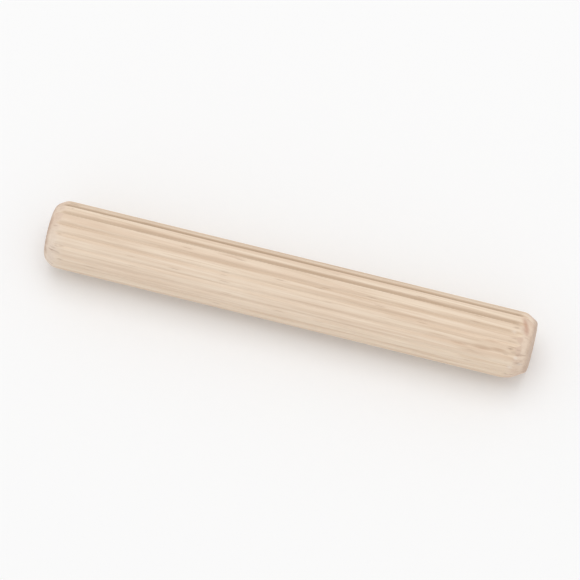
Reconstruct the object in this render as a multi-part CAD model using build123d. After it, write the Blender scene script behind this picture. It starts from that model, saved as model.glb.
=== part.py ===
from build123d import *
from math import radians, sin, tan
import os

# A straight wooden dowel pin, fluted along its whole length and chamfered at both ends.
# Units are millimetres. The axis lies along X, the origin is the middle of the pin, and Z is up.

# Overall sizes
pin_length = 60.0
ridge_diameter = 8.3

# Flutes: shallow V grooves with a rounded root, between lands that keep the full diameter
flute_count = 18
flute_depth = 0.32
flute_flank_angle = 60.0  # between the two flanks of one groove
flute_root_radius = 0.15
land_edge_bevel = 0.09  # how far the bevel on a land's edge reaches along the land and down the flank
first_flute_angle = -90.0  # straight down, so that the pin lies on the two lands beside it

# Ends: a cone down to a flat face, with both of its edges worn round
chamfer_length = 1.5
chamfer_depth = 0.85
shoulder_radius = 2.0
face_edge_radius = 0.6

# Making allowances
saw_allowance = 1.0  # extra rod at each end, which the end shape cuts off
shaper_clearance = 0.01  # how far the end shaper's straight part passes outside the lands
shaper_turn = 2.5  # degrees about the axis, which puts the end shaper's seam on a groove's flank
corner_tolerance = 0.0001  # how near a drawn corner lies to its circle

ridge_radius = ridge_diameter / 2
half_length = pin_length / 2


def flute_groove():
    """One groove's cross-section on the local X axis, open past the ridge circle."""
    half_flank = radians(flute_flank_angle / 2)
    apex_below_root = flute_root_radius / sin(half_flank) - flute_root_radius
    apex = ridge_radius - flute_depth - apex_below_root
    mouth = ridge_radius + flute_depth
    mouth_half_width = (mouth - apex) * tan(half_flank)
    vee = Polygon((apex, 0), (mouth, -mouth_half_width), (mouth, mouth_half_width), align=None)
    root_corner = vee.vertices().sort_by(Axis.X)[0]
    return fillet(root_corner, flute_root_radius)


def on_ridge_circle(corner):
    """Whether a corner of the section lies on the ridge circle, where a groove meets a land."""
    return abs(Vector(corner).length - ridge_radius) < corner_tolerance


def fluted_section():
    """The rod's cross-section: the ridge circle with its grooves, and the lands' edges bevelled."""
    blank = Rotation(0, 0, first_flute_angle) * Circle(ridge_radius)
    grooves = PolarLocations(0, flute_count, start_angle=first_flute_angle) * flute_groove()
    section = blank - grooves
    land_corners = section.vertices().filter_by(on_ridge_circle)
    return chamfer(land_corners, land_edge_bevel)


def end_shaper():
    """What is left inside the turned outline of both ends: a cone, an end face and their worn edges."""
    outer_radius = ridge_radius + shaper_clearance
    face_radius = ridge_radius - chamfer_depth
    shoulder = half_length - chamfer_length
    outline = Polygon(
        (-half_length, 0),
        (half_length, 0),
        (half_length, face_radius),
        (shoulder, outer_radius),
        (-shoulder, outer_radius),
        (-half_length, face_radius),
        align=None,
    )
    face_corners = outline.vertices().group_by(Axis.Y)[1]
    outline = fillet(face_corners, face_edge_radius)
    shoulder_corners = outline.vertices().group_by(Axis.Y)[-1]
    outline = fillet(shoulder_corners, shoulder_radius)
    return Rotation(shaper_turn, 0, 0) * revolve(Plane.XZ * outline, Axis.X)


rod = extrude(Plane.YZ * fluted_section(), amount=half_length + saw_allowance, both=True)
dowel_pin = rod & end_shaper()

os.makedirs("parts", exist_ok=True)
export_step(dowel_pin, "parts/dowel_pin.step")
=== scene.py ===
import math

import bpy
import numpy as np
from mathutils import Matrix, Vector


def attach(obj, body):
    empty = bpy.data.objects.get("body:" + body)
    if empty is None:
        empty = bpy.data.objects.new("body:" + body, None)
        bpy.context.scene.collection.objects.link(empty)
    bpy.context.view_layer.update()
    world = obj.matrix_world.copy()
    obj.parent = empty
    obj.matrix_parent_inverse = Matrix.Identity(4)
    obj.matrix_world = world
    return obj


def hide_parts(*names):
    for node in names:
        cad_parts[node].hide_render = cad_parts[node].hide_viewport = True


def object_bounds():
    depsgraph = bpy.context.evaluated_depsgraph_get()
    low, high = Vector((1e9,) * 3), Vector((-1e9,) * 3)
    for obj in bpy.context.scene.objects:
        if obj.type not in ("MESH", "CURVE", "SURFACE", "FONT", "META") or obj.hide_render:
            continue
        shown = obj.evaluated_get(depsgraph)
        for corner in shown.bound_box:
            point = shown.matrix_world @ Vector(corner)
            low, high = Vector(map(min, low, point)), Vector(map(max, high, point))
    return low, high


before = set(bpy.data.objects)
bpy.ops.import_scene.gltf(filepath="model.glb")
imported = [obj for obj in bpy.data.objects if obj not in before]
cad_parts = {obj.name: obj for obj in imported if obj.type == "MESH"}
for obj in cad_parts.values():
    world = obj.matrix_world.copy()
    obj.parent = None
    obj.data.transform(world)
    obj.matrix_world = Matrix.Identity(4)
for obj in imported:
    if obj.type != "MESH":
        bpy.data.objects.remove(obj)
cad_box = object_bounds()

# A fluted wooden dowel pin lying on a pale floor. Shapes are worked out in millimetres and placed in
# metres. Places round the pin are in degrees from straight down, by way of +Y at 90 to the top at 180.
MM = 0.001

# The pin's sizes, as its solid has them
HALF_LENGTH = 30.0
RIDGE_RADIUS = 4.15
FLUTE_COUNT = 18
FLUTE_PITCH = 360.0 / FLUTE_COUNT
FLUTE_DEPTH = 0.32
FLUTE_MOUTH = 9.85  # degrees of the round from one land to the next
CHAMFER_DEPTH = 0.85
SHAPER_CLEARANCE = 0.01

# Each end's chamfer length, shoulder radius and face edge radius. The left end is worn rounder.
LEFT_END = (1.3, 1.7, 1.05)
RIGHT_END = (1.5, 2.0, 0.6)

# How finely the skin is laid out
STEPS_ROUND = 20 * FLUTE_COUNT
FACE_RINGS = 46
FACE_EDGE_RINGS = 9
CONE_RINGS = 14
SHOULDER_RINGS = 13
BODY_RINGS = 104
GRAIN_CELLS = 1024

# The fluting roller bit less deep on the side that faces up and to the front
SHALLOW_SIDE = 236.0
SHALLOW_SPREAD = 52.0
SHALLOW_LOSS = 0.68  # the share of its depth that a flute loses there

# Three flutes at the upper edge stand off their even places, by these degrees
SHIFTED_FLUTES = slice(7, 10)
FLUTE_SHIFTS = np.array([-1.1, 0.6, 2.0])

# Painted shade: the flutes of the far side get more painted shade in their hollows, and the land between
# two of them a stripe of painted shade
SHADED_FLUTES = 132.0
SHADED_FLUTES_SPREAD = 18.0
SHADED_FLUTES_GAIN = 0.3
SHADED_LAND = 130.0
SHADED_LAND_SPREAD = 4.0
SHADED_LAND_SHARE = 0.38

# The lands are a little crowned, and their raised grain stays under the ridge radius
LAND_CROWN = 0.012
GRAIN_SUNK = 0.014
GRAIN_BELOW_RIDGE = 0.002

# The right end's lower front corner is worn away, more and more between two places along the pin
WORN_CORNER = 292.0
WORN_SPREAD = 34.0
WORN_LOSS = 0.12  # the share of the radius that is gone at the end
WORN_FROM = 26.8
WORN_TO = 29.9

# Splinters torn out of the ends' rims lie mostly round one side, this far in from the end
SPLINTER_SIDE = 238.0
SPLINTER_SPREAD = 42.0
SPLINTERS_ON_SIDE = 0.6
SPLINTER_REACH = (0.8, 2.3)
RIGHT_RIM_SPLINTERS = 22
LEFT_RIM_SPLINTERS = 16

# Marks that stand out. Each is its place along and round the pin, its half length and half width, its
# depth, and how strongly it shows.
RIGHT_SPLINTERS = [
    (27.8, 209.0, 0.55, 0.17, 0.05, 1.0),
    (28.25, 214.0, 0.5, 0.2, 0.06, 1.0),
    (27.9, 191.0, 0.6, 0.16, 0.05, 0.9),
    (29.3, 229.0, 0.3, 0.2, 0.07, 1.0),
    (27.7, 136.0, 0.7, 0.2, 0.04, 0.8),
    (27.4, 221.0, 0.5, 0.14, 0.04, 0.7),
]
BROWN_STREAKS = [
    (24.3, 218.5, 1.9, 0.42, 0.0, 1.0),
    (21.6, 220.5, 1.6, 0.26, 0.0, 0.7),
    (26.4, 216.0, 1.3, 0.34, 0.0, 0.9),
    (23.4, 229.0, 2.4, 0.22, 0.0, 0.6),
    (19.2, 214.0, 2.0, 0.18, 0.0, 0.5),
    (25.4, 204.0, 1.6, 0.2, 0.0, 0.6),
    (-24.0, 172.0, 2.6, 0.2, 0.0, 0.4),
    (-7.5, 168.0, 2.4, 0.22, 0.0, 0.6),
]
PALE_SPECKS = [
    (28.6, 223.0, 0.45, 0.34, 0.0, 1.6),
    (29.2, 236.0, 0.40, 0.36, 0.0, 1.6),
    (27.7, 179.0, 0.45, 0.30, 0.0, 1.3),
    (28.1, 243.0, 0.50, 0.28, 0.0, 1.3),
]

# Drying cracks in the end faces. Each is its middle across and up, its heading in degrees, its half
# length and its half width.
LEFT_CRACKS = [
    (-0.5, 0.9, 20.0, 1.15, 0.10),
    (0.9, -0.7, 65.0, 0.75, 0.09),
    (-1.4, -0.9, 5.0, 0.5, 0.09),
]
RIGHT_CRACKS = [
    (0.4, 0.6, -25.0, 1.3, 0.11),
    (-0.8, -0.5, -60.0, 0.7, 0.09),
    (1.1, -1.3, -10.0, 0.45, 0.09),
]
CRACK_DEPTH = 0.09

# The sawn end faces: the pitch and depth of the saw marks, the depth of the broad waves, and the heading
# of the saw's stroke at each end, in radians
SAW_PITCH = 0.46
SAW_MARK_DEPTH = 0.012
FACE_WAVE_DEPTH = 0.014
LEFT_STROKE = 0.4
RIGHT_STROKE = 1.3

# A reddish growth line bends across the right end's cone
RING_LINE = 163.0
RING_LINE_SPREAD = 15.5
RING_LINE_PLACE = 28.95
RING_LINE_HALF_WIDTH = 0.34

# Painted bounce light and sheen, strongest on the side that faces this way
LIT_FRONT_SIDE = 248.0

rng = np.random.default_rng(60818)


# The pin's shape


def smoothstep(value, low, high):
    """0 at low and beyond, 1 at high and beyond, with a soft S between. High may be the smaller one."""
    t = np.clip((value - low) / (high - low), 0.0, 1.0)
    return t * t * (3.0 - 2.0 * t)


def bell(value, middle, spread):
    """A smooth hump exp(-d^2), d being the distance from its middle over its spread."""
    return np.exp(-(((value - middle) / spread) ** 2))


def turn_from(angle, middle):
    """How far round the pin an angle lies from the middle, between -180 and 180 degrees."""
    return (angle - middle + 180.0) % 360.0 - 180.0


def end_outline(chamfer_length, shoulder_radius, face_edge_radius):
    """The turned outline of one end, from the middle of its face to the straight part.

    Returns the distance in from the end face and the radius. The face is straight, its edge is an arc, the
    cone is straight, and the shoulder is an arc.
    """
    face_radius = RIDGE_RADIUS - CHAMFER_DEPTH
    outer_radius = RIDGE_RADIUS + SHAPER_CLEARANCE
    slope = math.atan2(outer_radius - face_radius, chamfer_length)
    turn = math.pi / 2 - slope
    cut_face = face_edge_radius * math.tan(turn / 2)
    cut_shoulder = shoulder_radius * math.tan(slope / 2)
    flat_radius = face_radius - cut_face

    face_r = flat_radius * np.linspace(1.0 / FACE_RINGS, 1.0, FACE_RINGS)
    face_d = np.zeros(FACE_RINGS)
    swing = turn * np.linspace(0.0, 1.0, FACE_EDGE_RINGS + 1)[1:]
    edge_d = face_edge_radius * (1.0 - np.cos(swing))
    edge_r = flat_radius + face_edge_radius * np.sin(swing)
    cone_from = np.array([edge_d[-1], edge_r[-1]])
    cone_to_d = chamfer_length - cut_shoulder * math.cos(slope)
    cone_to_r = outer_radius - cut_shoulder * math.sin(slope)
    along = np.linspace(0.0, 1.0, CONE_RINGS + 1)[1:, None]
    cone = cone_from + along * (np.array([cone_to_d, cone_to_r]) - cone_from)
    swing = slope * np.linspace(1.0, 0.0, SHOULDER_RINGS + 1)[1:]
    shoulder_d = chamfer_length + cut_shoulder - shoulder_radius * np.sin(swing)
    shoulder_r = outer_radius - shoulder_radius * (1.0 - np.cos(swing))
    inward = np.concatenate([face_d, edge_d, cone[:, 0], shoulder_d])
    radius = np.concatenate([face_r, edge_r, cone[:, 1], shoulder_r])
    return inward, radius


def whole_outline():
    """Both ends and the straight part between them, from the left pole to the right.

    Returns x and the radius that the end cuts leave. The straight part's rings lie closer near the ends, by
    a sine law, and its limit rises clear of the lands there.
    """
    left_in, left_radius = end_outline(*LEFT_END)
    right_in, right_radius = end_outline(*RIGHT_END)
    even = np.linspace(-1.0, 1.0, BODY_RINGS + 2)[1:-1]
    spread = 0.5 + 0.5 * (0.55 * np.sin(0.5 * math.pi * even) + 0.45 * even)
    first = left_in[-1] - HALF_LENGTH
    last = HALF_LENGTH - right_in[-1]
    middle = first + (last - first) * spread
    from_cone = np.minimum(middle - first, last - middle)
    clear = RIDGE_RADIUS + SHAPER_CLEARANCE + 0.06 * smoothstep(from_cone, 0.0, 2.0)
    x = np.concatenate([left_in - HALF_LENGTH, middle, HALF_LENGTH - right_in[::-1]])
    limit = np.concatenate([left_radius, clear, right_radius[::-1]])
    return x, limit


def each_flute(middle, swing):
    """One random value for each flute, evenly drawn within the swing on either side of the middle."""
    return middle + swing * rng.uniform(-1.0, 1.0, (FLUTE_COUNT, 1))


def slow_wander(x, rows, waves, size):
    """A slow, smooth wander along the pin for each of several rows: a few sine waves of falling height."""
    out = np.zeros((rows, x.size))
    for wave in range(1, waves + 1):
        height = size * rng.normal(0.0, 1.0, (rows, 1)) / wave
        phase = rng.uniform(0.0, 2.0 * math.pi, (rows, 1))
        out += height * np.sin(math.pi * wave * x[None, :] / (2.0 * HALF_LENGTH) + phase)
    return out


def grain_field(x, length, width, size):
    """Smooth noise stretched along the grain, on the grid of rings by angle.

    White noise on an even grid is blurred in Fourier space by a Gaussian of the given length along the pin
    and width round it, both in millimetres, scaled to the wanted size, and read off at the rings' places.
    """
    step = 2.0 * HALF_LENGTH / GRAIN_CELLS
    noise = np.fft.rfft2(rng.normal(0.0, 1.0, (GRAIN_CELLS, STEPS_ROUND)))
    along_f = np.fft.fftfreq(GRAIN_CELLS, step)[:, None]
    round_f = np.fft.rfftfreq(STEPS_ROUND, 2.0 * math.pi * RIDGE_RADIUS / STEPS_ROUND)[None, :]
    blur = np.exp(-2.0 * math.pi**2 * ((along_f * length) ** 2 + (round_f * width) ** 2))
    field = np.fft.irfft2(noise * blur, s=(GRAIN_CELLS, STEPS_ROUND))
    field *= size / field.std()
    just_inside = GRAIN_CELLS - 1.001
    place = np.clip((x + HALF_LENGTH) / step, 0.0, just_inside)
    low = place.astype(int)
    part = (place - low)[:, None]
    return field[low] * (1.0 - part) + field[low + 1] * part


def soft_min(a, b, reach):
    """The lower of two surfaces, with the crease between them rounded over the given reach.

    Where they lie nearer each other than the reach, it dips by the square of what they lack of it, over
    four times the reach.
    """
    near = np.maximum(reach - np.abs(a - b), 0.0)
    return np.minimum(a, b) - near**2 / (4.0 * reach)


def round_dents(x, angle, dents):
    """How deep small bowl-shaped dents reach at each place of the skin, and how strongly they show.

    Each dent is its place along and round the pin, its half length along the pin and half width round it in
    millimetres, its depth, and how strongly it shows. It falls off from its middle as (1 - d^2)^2, d being
    the distance in half sizes.
    """
    deep = np.zeros((x.size, angle.size))
    marked = np.zeros((x.size, angle.size))
    for place, turned, half_length, half_width, depth, strength in dents:
        along = (x[:, None] - place) / half_length
        round_mm = np.radians(turn_from(angle[None, :], turned)) * RIDGE_RADIUS
        bowl = np.maximum(1.0 - along**2 - (round_mm / half_width) ** 2, 0.0) ** 2
        deep = np.maximum(deep, depth * bowl)
        marked = np.maximum(marked, strength * bowl)
    return deep, marked


def rim_splinters(side, number):
    """Small splinters torn out where the cone of one end meets the lands, as dents for round_dents.

    Each one's size is a random share squared, so that most are small. Its length, width, depth and darkness
    grow with that size.
    """
    rows = []
    for _ in range(number):
        on_side = rng.random() < SPLINTERS_ON_SIDE
        turned = rng.normal(SPLINTER_SIDE, SPLINTER_SPREAD) if on_side else rng.uniform(0.0, 360.0)
        place = side * (HALF_LENGTH - rng.uniform(*SPLINTER_REACH))
        size = rng.uniform(0.4, 1.0) ** 2
        half_length = 0.25 + 0.75 * size
        half_width = 0.09 + 0.12 * size
        depth = 0.02 + 0.06 * size
        darkness = 0.45 + 0.5 * size
        rows.append((place, turned, half_length, half_width, depth, darkness))
    return rows


def sawn_face(across, up, heading):
    """How far in the sawn end grain lies: fine saw marks and broad waviness, in millimetres.

    The marks are sine ridges across the saw's stroke, whose line sways a little, and the waves are a slow
    sine of both directions.
    """
    stroke = across * np.cos(heading) + up * np.sin(heading)
    cross = up * np.cos(heading) - across * np.sin(heading)
    sway = 0.11 * np.sin(1.3 * cross + heading)
    marks = 0.5 + 0.5 * np.sin(2.0 * math.pi * (stroke / SAW_PITCH + sway))
    waves = 0.5 + 0.5 * np.sin(1.1 * stroke + 0.8 * cross + 2.0 * heading)
    return SAW_MARK_DEPTH * marks + FACE_WAVE_DEPTH * waves


def face_cracks(across, up, cracks):
    """Short drying cracks in the end grain: how strongly each place of the face lies in one.

    Each crack is its middle, its heading in degrees, its half length and its half width. Its line bends by
    two small sine waves, and it narrows towards both tips as an ellipse does.
    """
    inside = np.zeros_like(across)
    for middle_across, middle_up, heading, half_length, half_width in cracks:
        a = math.radians(heading)
        along = ((across - middle_across) * math.cos(a) + (up - middle_up) * math.sin(a)) / half_length
        bend = 0.022 * np.sin(4.0 * along + heading) + 0.010 * np.sin(11.0 * along)
        off_line = (up - middle_up) * math.cos(a) - (across - middle_across) * math.sin(a) - bend
        beside = off_line / half_width
        taper = np.sqrt(np.maximum(1.0 - along**2, 1e-9))
        here = np.maximum(1.0 - (beside / taper) ** 2, 0.0) * (np.abs(along) < 1.0)
        inside = np.maximum(inside, here)
    return inside


def fluted_wall(x, angle):
    """The radius that the fluting roller leaves, and how much painted shade each place gets.

    Each flute is a hollow (1 - t^2)^p of its own depth, width and place, which wander slowly along the pin,
    t being the distance from its middle over half its mouth. The roller's bite is one less a bell round the
    shallow side. Painted shade lies in the hollows, going with the bite's fourth power, darker on the far
    side, with a stripe of it along one land there. The lands between the flutes keep the ridge radius, less
    a slight crown and the raised grain.
    """
    place = np.arange(FLUTE_COUNT)[:, None] * FLUTE_PITCH
    bite = 1.0 - SHALLOW_LOSS * bell(place, SHALLOW_SIDE, SHALLOW_SPREAD)
    depth = FLUTE_DEPTH * bite * each_flute(0.95, 0.05)
    depth = depth + slow_wander(x, FLUTE_COUNT, waves=5, size=0.010)
    mouth = FLUTE_MOUTH * each_flute(1.02, 0.05)
    mouth = mouth + slow_wander(x, FLUTE_COUNT, waves=4, size=0.12)
    middle = each_flute(0.0, 0.35) + slow_wander(x, FLUTE_COUNT, waves=3, size=0.16)
    middle[SHIFTED_FLUTES] += FLUTE_SHIFTS[:, None]
    power = each_flute(2.0, 0.25)
    # Painted shade in the flute hollows: strongest where the roller bit deepest and on the far side, none
    # near the ends
    hollow_shade = bite**4 * each_flute(0.9, 0.1) + slow_wander(x, FLUTE_COUNT, waves=4, size=0.05)
    shaded_side = 1.0 + SHADED_FLUTES_GAIN * bell(place, SHADED_FLUTES, SHADED_FLUTES_SPREAD)
    clear_of_ends = smoothstep(HALF_LENGTH + x, 0.6, 1.7) * smoothstep(HALF_LENGTH - x, 1.2, 2.6)
    hollow_shade = hollow_shade * shaded_side * clear_of_ends[None, :]

    nearest = np.rint(angle / FLUTE_PITCH)
    flute = nearest.astype(int) % FLUTE_COUNT
    off = angle - FLUTE_PITCH * nearest
    t = (off[:, None] - middle[flute]) / (0.5 * mouth[flute])
    hollow = np.maximum(1.0 - t**2, 0.0) ** power[flute]
    flute_shade = (np.sqrt(hollow) * np.clip(hollow_shade[flute], 0.0, 1.2)).T
    # A stripe of painted shade along the land at the far upper edge
    flute_shade = np.maximum(flute_shade, SHADED_LAND_SHARE * bell(angle, SHADED_LAND, SHADED_LAND_SPREAD)[None, :])
    hollow = (hollow * depth[flute]).T

    land_place = 1.0 - np.abs(off) / (0.5 * FLUTE_PITCH)
    crown = LAND_CROWN * (land_place**2)[None, :]
    raised = grain_field(x, length=9.0, width=0.05, size=0.0045)
    raised = raised + grain_field(x, length=14.0, width=0.35, size=0.006)
    raised = np.minimum(raised - GRAIN_SUNK, -GRAIN_BELOW_RIDGE)
    return RIDGE_RADIUS - hollow - crown + raised, flute_shade


def end_cuts(x, angle, limit):
    """The radius that the end shaper leaves: the turned outline, with one corner worn and a ragged cone.

    The worn corner takes off a share of the radius that grows towards the end and falls off round the pin
    as a bell. The raggedness is fine noise on the cones alone.
    """
    from_end = HALF_LENGTH - np.abs(x)
    on_cone = smoothstep(from_end, 0.0, 0.35)[:, None] * smoothstep(from_end, 3.2, 0.9)[:, None]
    ragged = np.abs(grain_field(x, length=0.35, width=0.12, size=0.018)) * on_cone
    low_corner = bell(turn_from(angle, WORN_CORNER), 0.0, WORN_SPREAD)[None, :]
    worn = 1.0 - WORN_LOSS * smoothstep(x, WORN_FROM, WORN_TO)[:, None] * low_corner
    return limit[:, None] * worn - ragged


def streaks_in_wood(x, angle):
    """Brown streaks, mostly near the right end, broken up by noise along the grain."""
    _, streak = round_dents(x, angle, BROWN_STREAKS)
    return streak * np.clip(0.8 + grain_field(x, length=1.1, width=0.06, size=0.35), 0.0, 1.3)


def growth_line(x, angle):
    """The reddish line on the right end's cone: a bell across a line whose place bends as a parabola.

    Round the pin it fades as exp(-s^4), s being the distance from its middle over its spread.
    """
    swung = (angle[None, :] - RING_LINE) / RING_LINE_SPREAD
    place = RING_LINE_PLACE + 0.38 * swung - 0.14 * swung**2
    return np.exp(-(((x[:, None] - place) / RING_LINE_HALF_WIDTH) ** 2) - swung**4)


def front_light_and_specks(x, angle):
    """Where the colour is painted paler: painted bounce light and sheen on the front of the left end and,
    faintly, on the whole front, and a few pale specks.

    The front is half of one plus the cosine of the angle from the lit front side, raised to a power.
    """
    facing_front = 0.5 + 0.5 * np.cos(np.radians(angle - LIT_FRONT_SIDE))[None, :]
    front_light = smoothstep(-x, 26.4, 28.9)[:, None] * facing_front**3
    front_light = np.maximum(front_light, 0.30 * facing_front**2 * smoothstep(-x, -40.0, 10.0)[:, None])
    _, speck = round_dents(x, angle, PALE_SPECKS)
    return np.maximum(front_light, speck)


def pin_skin():
    """The pin's outer skin as a grid of rings, with the pattern values that its finish reads.

    The radius is the lower of the fluted wall and the end cuts, with a soft crease, so that the flutes run
    out on the cones. Splinters are torn out of that, and saw marks and cracks are sunk in the end faces.
    """
    x, limit = whole_outline()
    angle = np.linspace(0.0, 360.0, STEPS_ROUND, endpoint=False)
    from_end = HALF_LENGTH - np.abs(x)
    fluted, flute_shade = fluted_wall(x, angle)
    cut = end_cuts(x, angle, limit)

    right_splinters = RIGHT_SPLINTERS + rim_splinters(1.0, RIGHT_RIM_SPLINTERS)
    left_splinters = rim_splinters(-1.0, LEFT_RIM_SPLINTERS)
    chips, chip_dark = round_dents(x, angle, right_splinters + left_splinters)
    torn = np.clip(0.75 + grain_field(x, length=0.16, width=0.05, size=0.4), 0.0, 1.4)
    radius = soft_min(fluted, cut, reach=0.05) - chips * torn

    theta = np.radians(angle)
    across = radius * np.sin(theta)
    up = -radius * np.cos(theta)
    side = np.sign(x)[:, None]
    flat = smoothstep(from_end, 0.05, 0.0)[:, None]
    left_crack = face_cracks(across, up, LEFT_CRACKS)
    right_crack = face_cracks(across, up, RIGHT_CRACKS)
    crack = np.where(side < 0.0, left_crack, right_crack) * flat
    stroke = np.where(side < 0.0, LEFT_STROKE, RIGHT_STROKE)
    inward = flat * (sawn_face(across, up, stroke) + CRACK_DEPTH * crack)
    points = np.stack([x[:, None] - side * inward, across, up], axis=-1)

    streak = streaks_in_wood(x, angle)
    rim_noise = grain_field(x, length=8.0, width=0.5, size=0.09)
    rim_noise = 0.8 * (rim_noise + grain_field(x, length=8.0, width=0.12, size=0.05))
    on_end = smoothstep(fluted - cut, -0.03, 0.05)
    patterns = {
        "painted_flute_shade": flute_shade * (1.0 - on_end),
        "cut_end": on_end,
        "end_face": smoothstep(from_end[:, None] + rim_noise, 0.60, 0.05),
        "chip": np.maximum(chip_dark * torn, crack),
        "streak": streak,
        "ring_line": growth_line(x, angle),
        "front_light_specks": front_light_and_specks(x, angle),
    }
    return points, patterns


def closed_rings(points, patterns, name):
    """Joins rings of points into a closed skin with a point at each pole, and stores the patterns on it."""
    rings, around, _ = points.shape
    poles = np.array([[points[0, :, 0].mean(), 0.0, 0.0], [points[-1, :, 0].mean(), 0.0, 0.0]])
    verts = np.concatenate([points.reshape(-1, 3), poles]) * MM
    ring = np.arange(rings - 1)[:, None] * around
    here = np.arange(around)[None, :]
    ahead = (here + 1) % around
    corners = [ring + here, ring + ahead, ring + around + ahead, ring + around + here]
    quads = np.stack(corners, axis=-1).reshape(-1, 4)
    left_pole = rings * around
    right_pole = left_pole + 1
    last = (rings - 1) * around
    fan_left = np.stack([np.full(around, left_pole), ahead[0], here[0]], axis=-1)
    fan_right = np.stack([np.full(around, right_pole), last + here[0], last + ahead[0]], axis=-1)
    mesh = bpy.data.meshes.new(name)
    mesh.from_pydata(verts.tolist(), [], quads.tolist() + fan_left.tolist() + fan_right.tolist())
    mesh.shade_smooth()
    for label, values in patterns.items():
        ends = [values[0].mean(), values[-1].mean()]
        layer = mesh.attributes.new(label, "FLOAT", "POINT")
        layer.data.foreach_set("value", np.concatenate([values.ravel(), ends]).astype(np.float32))
    mesh.update()
    piece = bpy.data.objects.new(name, mesh)
    bpy.context.scene.collection.objects.link(piece)
    return piece


# The wood

# How many cells of each pattern lie in a millimetre along X, Y and Z
RING_DRIFT = (0.03, 0.25, 0.25)
COARSE_FIBRES = (0.045, 1.7, 1.7)
THIN_FIBRES = (0.075, 3.6, 3.6)
FINE_FIBRES = (0.16, 8.0, 8.0)
FLECKS = (0.17, 3.1, 3.1)
PORES = (1.5, 11.0, 11.0)
BLOTCHES = (0.5, 0.9, 0.9)
SAW_SCRATCHES = (1.0, 0.5, 16.0)

GRAIN_TILT = (1.5, 0.5, 0.8)  # degrees between the grain and the pin
TREE_MIDDLE = (0.0, -13.0, 21.0)  # millimetres from the pin's middle
RING_SPACING = 2.1
RING_WANDER = 1.3  # how many rings' width the drift can move them
SAW_TURN = 0.5  # radians between the saw scratches and level
RAYS_ROUND = 200.0  # ray cells to a radian round the tree's middle
RAYS_OUTWARD = 0.7  # ray cells to a millimetre outward

# How rough the wood is at its smoothest, and how much the fibres add
SMOOTHEST = 0.56
ROUGHER_FIBRES = 0.16

# How far the finest relief stands out, or lies in where negative, in millimetres
FIBRE_RELIEF = 0.012
FLECK_RELIEF = -0.02
PORE_RELIEF = -0.02
SCRATCH_RELIEF = 0.016

# The wall's colours
LIGHT_WOOD = (0.862, 0.716, 0.562, 1.0)
DEEP_WOOD = (0.764, 0.596, 0.448, 1.0)
LATE_WOOD = (0.70, 0.50, 0.36, 1.0)
FINE_FIBRE = (0.64, 0.46, 0.32, 1.0)
DARK_FIBRE = (0.60, 0.43, 0.29, 1.0)
PALE_FIBRE = (0.92, 0.79, 0.64, 1.0)
FLECK_BROWN = (0.38, 0.22, 0.12, 1.0)
# Painted shade for the flute hollows
FLUTE_SHADE_BROWN = (0.42, 0.29, 0.185, 1.0)
STREAK_BROWN = (0.47, 0.275, 0.16, 1.0)
# Painted bounce light and sheen on the front, and the pale specks
FRONT_LIGHT_TINT = (0.84, 0.72, 0.61, 1.0)
GROWTH_LINE_RED = (0.52, 0.285, 0.19, 1.0)
CHIP_BROWN = (0.33, 0.20, 0.13, 1.0)

# The cones' colours, where the cut slants across the grain
CONE_LIGHT = (0.80, 0.645, 0.52, 1.0)
CONE_DEEP = (0.71, 0.55, 0.435, 1.0)
CONE_LATE = (0.52, 0.32, 0.23, 1.0)
CONE_PORE = (0.40, 0.25, 0.18, 1.0)

# The end faces' colours, where the saw cut straight across it
FACE_LIGHT = (0.67, 0.515, 0.40, 1.0)
FACE_DEEP = (0.57, 0.425, 0.325, 1.0)
FACE_SCRATCH = (0.43, 0.30, 0.23, 1.0)
FACE_RAY = (0.72, 0.57, 0.45, 1.0)
FACE_LATE = (0.42, 0.26, 0.185, 1.0)
FACE_PORE = (0.25, 0.15, 0.11, 1.0)

WHITE = (1.0, 1.0, 1.0, 1.0)


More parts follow.
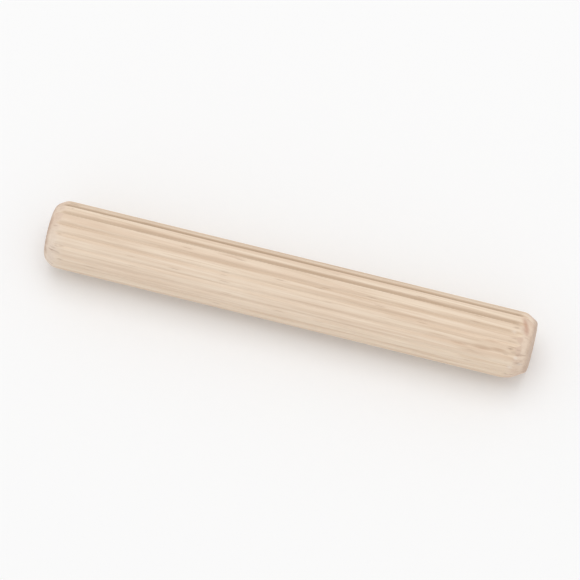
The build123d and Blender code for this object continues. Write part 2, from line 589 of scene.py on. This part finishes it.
class Nodes:
    """A tree of shader nodes, each put down and joined in one line."""

    def __init__(self, tree):
        self.tree = tree
        self.tree.nodes.clear()

    def join(self, value, socket):
        """Links a socket to the value if it is a socket too, and otherwise sets it to the value."""
        if isinstance(value, bpy.types.NodeSocket):
            self.tree.links.new(value, socket)
        elif value is not None:
            socket.default_value = value

    def node(self, kind, inputs=(), out=0, **settings):
        """Puts down a node with its settings, joins its inputs, and returns one of its outputs."""
        made = self.tree.nodes.new(kind)
        for key, value in settings.items():
            setattr(made, key, value)
        pairs = inputs.items() if isinstance(inputs, dict) else enumerate(inputs)
        for key, value in pairs:
            self.join(value, made.inputs[key])
        return made.outputs[out]

    def show(self, surface, kind="ShaderNodeOutputMaterial"):
        """Puts down the output and joins the finished surface to it."""
        self.join(surface, self.tree.nodes.new(kind).inputs["Surface"])

    def math(self, operation, a, b=None, c=None):
        return self.node("ShaderNodeMath", (a, b, c), operation=operation)

    def scaled(self, vector, sizes):
        return self.node("ShaderNodeVectorMath", (vector, sizes), operation="MULTIPLY")

    def noise(self, vector, detail, roughness):
        inputs = {"Vector": vector, "Scale": 1.0, "Detail": detail, "Roughness": roughness}
        return self.node("ShaderNodeTexNoise", inputs, out="Fac")

    def cells(self, vector):
        """Cells round scattered points: the distance from each one's point, and its random colour."""
        made = self.tree.nodes.new("ShaderNodeTexVoronoi")
        made.feature = "F1"
        self.join(vector, made.inputs["Vector"])
        made.inputs["Scale"].default_value = 1.0
        return made.outputs["Distance"], made.outputs["Color"]

    def channel(self, colour, name):
        return self.node("ShaderNodeSeparateColor", (colour,), out=name)

    def ramp(self, value, low, high):
        """0 at low and 1 at high, with a soft S between them."""
        inputs = {"Value": value, "From Min": low, "From Max": high, "To Min": 0.0, "To Max": 1.0}
        return self.node("ShaderNodeMapRange", inputs, interpolation_type="SMOOTHSTEP")

    def mix(self, amount, below, above):
        inputs = {0: amount, 6: below, 7: above}
        return self.node("ShaderNodeMix", inputs, out=2, data_type="RGBA", blend_type="MIX")

    def tint(self, below, pattern, share, above):
        """Lays one colour over another where a pattern is, at the given share."""
        return self.mix(self.math("MULTIPLY", pattern, share), below, above)

    def pattern(self, name):
        """One of the pattern values that the skin carries."""
        return self.node("ShaderNodeAttribute", out="Fac", attribute_name=name)


def new_material(name):
    """An empty material and its nodes."""
    material = bpy.data.materials.new(name)
    material.use_nodes = True
    return material, Nodes(material.node_tree)


def year_rings(n, mm):
    """Bands of the distance from the tree's middle, which lies beside the pin.

    Returns the place across the grain, its distance from the tree's middle, and how far it is late wood.
    """
    drift = n.noise(n.scaled(mm, RING_DRIFT), detail=2.0, roughness=0.5)
    middle = n.node("ShaderNodeVectorMath", (mm, TREE_MIDDLE), operation="SUBTRACT")
    flat = n.scaled(middle, (0.0, 1.0, 1.0))
    far = n.node("ShaderNodeVectorMath", (flat,), operation="LENGTH", out="Value")
    year = n.math("MULTIPLY_ADD", drift, RING_WANDER, n.math("DIVIDE", far, RING_SPACING))
    part = n.math("FRACT", year)
    late = n.math("MULTIPLY", n.ramp(part, 0.35, 0.93), n.ramp(part, 1.0, 0.95))
    return flat, far, late


def wall_colour(n, mm, late, fine, fleck):
    """The fluted wall: long fibres at three sizes, short dark flecks, painted shade in the flutes and brown
    streaks.
    """
    coarse = n.noise(n.scaled(mm, COARSE_FIBRES), detail=4.0, roughness=0.6)
    thin = n.noise(n.scaled(mm, THIN_FIBRES), detail=3.0, roughness=0.6)
    colour = n.mix(n.ramp(coarse, 0.30, 0.72), LIGHT_WOOD, DEEP_WOOD)
    colour = n.tint(colour, late, 0.22, LATE_WOOD)
    colour = n.tint(colour, n.ramp(fine, 0.42, 0.80), 0.30, FINE_FIBRE)
    colour = n.tint(colour, n.ramp(thin, 0.52, 0.66), 0.40, DARK_FIBRE)
    colour = n.tint(colour, n.ramp(thin, 0.47, 0.33), 0.45, PALE_FIBRE)
    colour = n.tint(colour, fleck, 0.40, FLECK_BROWN)
    # Painted shade in the flute hollows
    colour = n.tint(colour, n.pattern("painted_flute_shade"), 0.82, FLUTE_SHADE_BROWN)
    return n.tint(colour, n.pattern("streak"), 0.62, STREAK_BROWN)


def cone_colour(n, late, pore, blotch):
    """End grain cut at a slant: pinkish, with the year rings showing."""
    colour = n.mix(blotch, CONE_LIGHT, CONE_DEEP)
    colour = n.tint(colour, late, 0.40, CONE_LATE)
    return n.tint(colour, pore, 0.30, CONE_PORE)


def face_colour(n, late, pore, blotch, scratch, ray):
    """End grain sawn straight across: darker, with scratches, pale rays, strong year rings and pores."""
    colour = n.mix(blotch, FACE_LIGHT, FACE_DEEP)
    colour = n.tint(colour, n.ramp(scratch, 0.4, 0.8), 0.30, FACE_SCRATCH)
    colour = n.tint(colour, ray, 0.22, FACE_RAY)
    colour = n.tint(colour, late, 0.50, FACE_LATE)
    return n.tint(colour, pore, 0.50, FACE_PORE)


def pale_wood():
    """Bare pale wood: straight grain along X, faint year rings, short dark flecks and open end grain."""
    material, n = new_material("pale_wood")
    place = n.node("ShaderNodeTexCoord", out="Object")
    tilt = tuple(math.radians(turn) for turn in GRAIN_TILT)
    in_mm = {"Vector": place, "Rotation": tilt, "Scale": (1000.0, 1000.0, 1000.0)}
    mm = n.node("ShaderNodeMapping", in_mm)
    flat, far, late = year_rings(n, mm)
    fine = n.noise(n.scaled(mm, FINE_FIBRES), detail=3.0, roughness=0.65)

    # Flecks: cells stretched along the grain, some of which hold a short dark dash
    from_middle, chosen = n.cells(n.scaled(mm, FLECKS))
    is_fleck = n.ramp(n.channel(chosen, "Red"), 0.5, 0.62)
    fleck = n.math("MULTIPLY", n.ramp(from_middle, 0.17, 0.06), is_fleck)

    # Open pores of the end grain, thickest in the early wood
    from_middle, chosen = n.cells(n.scaled(mm, PORES))
    is_pore = n.ramp(n.channel(chosen, "Green"), 0.2, 0.9)
    pore = n.math("MULTIPLY", n.ramp(from_middle, 0.42, 0.10), is_pore)
    pore = n.math("MULTIPLY", pore, n.math("MULTIPLY_ADD", late, -0.6, 1.0))

    # Fine rays that cross the year rings, the scratches of the saw, and broad blotches
    parts = n.tree.nodes.new("ShaderNodeSeparateXYZ")
    n.join(flat, parts.inputs["Vector"])
    bearing = n.math("ARCTAN2", parts.outputs["Y"], parts.outputs["Z"])
    along_ring = n.math("MULTIPLY", bearing, RAYS_ROUND)
    outward = n.math("MULTIPLY", far, RAYS_OUTWARD)
    spokes = n.node("ShaderNodeCombineXYZ", (along_ring, outward))
    ray = n.ramp(n.noise(spokes, detail=2.0, roughness=0.6), 0.45, 0.75)
    sawn = {"Vector": mm, "Rotation": (SAW_TURN, 0.0, 0.0), "Scale": SAW_SCRATCHES}
    scratch = n.noise(n.node("ShaderNodeMapping", sawn), detail=3.0, roughness=0.6)
    blotch = n.ramp(n.noise(n.scaled(mm, BLOTCHES), detail=3.0, roughness=0.6), 0.35, 0.65)

    end_face = n.pattern("end_face")
    colour = wall_colour(n, mm, late, fine, fleck)
    colour = n.tint(colour, n.pattern("cut_end"), 0.65, cone_colour(n, late, pore, blotch))
    # Painted bounce light and sheen on the front, and pale specks
    colour = n.tint(colour, n.pattern("front_light_specks"), 0.62, FRONT_LIGHT_TINT)
    colour = n.tint(colour, end_face, 0.85, face_colour(n, late, pore, blotch, scratch, ray))
    colour = n.tint(colour, n.pattern("ring_line"), 0.68, GROWTH_LINE_RED)
    colour = n.tint(colour, n.pattern("chip"), 0.55, CHIP_BROWN)

    rough = n.math("MULTIPLY_ADD", fine, ROUGHER_FIBRES, SMOOTHEST)
    pitted = n.math("MULTIPLY_ADD", pore, PORE_RELIEF, n.math("MULTIPLY", scratch, SCRATCH_RELIEF))
    height = n.math("MULTIPLY_ADD", fleck, FLECK_RELIEF, n.math("MULTIPLY", pitted, end_face))
    height = n.math("MULTIPLY_ADD", fine, FIBRE_RELIEF, height)
    bump = n.node("ShaderNodeBump", {"Height": height, "Strength": 1.0, "Distance": MM})
    wood = {"Base Color": colour, "Roughness": rough, "Normal": bump, "IOR": 1.45}
    n.show(n.node("ShaderNodeBsdfPrincipled", wood))
    return material


points, patterns = pin_skin()
pin = closed_rings(points, patterns, "fluted_pin")
pin.data.materials.append(pale_wood())
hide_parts("dowel_pin")
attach(pin, "root")


# Floor, light and camera

FLOOR_COLOUR = (0.96, 0.96, 0.96, 1.0)
FAR_FLOOR_STRENGTH = 0.96
FAR_FLOOR_FROM = 0.08  # metres from the pin's middle
FAR_FLOOR_TO = 0.40


def pale_floor():
    """Matt white board that shows the pin's soft shadow. Further off, the camera sees it as plain white."""
    material, n = new_material("pale_floor")
    matt = {"Base Color": FLOOR_COLOUR, "Roughness": 0.9, "Specular IOR Level": 0.0}
    board = n.node("ShaderNodeBsdfPrincipled", matt)
    place = n.node("ShaderNodeTexCoord", out="Object")
    far = n.node("ShaderNodeVectorMath", (place,), operation="LENGTH", out="Value")
    seen = n.node("ShaderNodeLightPath", out="Is Camera Ray")
    plain = n.math("MULTIPLY", n.ramp(far, FAR_FLOOR_FROM, FAR_FLOOR_TO), seen)
    white = n.node("ShaderNodeEmission", {"Color": WHITE, "Strength": FAR_FLOOR_STRENGTH})
    n.show(n.node("ShaderNodeMixShader", (plain, board, white)))
    return material


def lay_floor(height, half_width):
    """A flat square of floor at the given height."""
    mesh = bpy.data.meshes.new("floor")
    w = half_width
    corners = [(-w, -w, height), (w, -w, height), (w, w, height), (-w, w, height)]
    mesh.from_pydata(corners, [], [(0, 1, 2, 3)])
    mesh.materials.append(pale_floor())
    floor = bpy.data.objects.new("floor", mesh)
    bpy.context.scene.collection.objects.link(floor)


def direction(azimuth, elevation):
    """The unit vector from the pin towards something at that azimuth and elevation, in degrees."""
    a = math.radians(azimuth)
    e = math.radians(elevation)
    return Vector((math.sin(a) * math.cos(e), -math.cos(a) * math.cos(e), math.sin(e)))


def facing(back):
    """The turn that points a lamp's or camera's -Z against the given direction, with its top towards +Z."""
    across = Vector((0.0, 0.0, 1.0)).cross(back).normalized()
    up = back.cross(across)
    return Matrix((across, up, back)).transposed().to_4x4()


def hang_lamp(name, azimuth, elevation, distance, width, watts):
    """A square soft light that faces the pin."""
    lamp = bpy.data.lights.new(name, "AREA")
    lamp.shape = "SQUARE"
    lamp.size = width
    lamp.energy = watts
    back = direction(azimuth, elevation)
    lamp_object = bpy.data.objects.new(name, lamp)
    lamp_object.matrix_world = Matrix.Translation(back * distance) @ facing(back)
    bpy.context.scene.collection.objects.link(lamp_object)


def light_room(fill):
    """An even white room, which the camera, mirror-like surfaces and clear ones see as plain white."""
    world = bpy.data.worlds.new("white_room")
    world.use_nodes = True
    n = Nodes(world.node_tree)
    path = n.tree.nodes.new("ShaderNodeLightPath")
    seen = n.math("MAXIMUM", path.outputs["Is Camera Ray"], path.outputs["Is Transmission Ray"])
    seen = n.math("MAXIMUM", seen, path.outputs["Is Glossy Ray"])
    strength = n.node("ShaderNodeMapRange", {"Value": seen, "To Min": fill, "To Max": 1.0})
    background = n.node("ShaderNodeBackground", {"Color": WHITE, "Strength": strength})
    n.show(background, "ShaderNodeOutputWorld")
    bpy.context.scene.world = world


def set_camera(azimuth, elevation, distance, lens):
    """A camera that looks at the pin's middle from the given direction."""
    camera = bpy.data.cameras.new("camera")
    camera.lens = lens
    camera.sensor_width = 36.0
    camera.clip_start = 0.01
    back = direction(azimuth, elevation)
    camera_object = bpy.data.objects.new("camera", camera)
    camera_object.matrix_world = Matrix.Translation(back * distance) @ facing(back)
    bpy.context.scene.collection.objects.link(camera_object)
    bpy.context.scene.camera = camera_object


lay_floor(height=cad_box[0][2], half_width=1.5)
light_room(fill=0.80)
hang_lamp("key_light", azimuth=190.0, elevation=78.0, distance=0.9, width=0.7, watts=2.0)
set_camera(azimuth=14.8, elevation=68.0, distance=0.68, lens=350.0)
bpy.context.scene.view_settings.view_transform = "Standard"
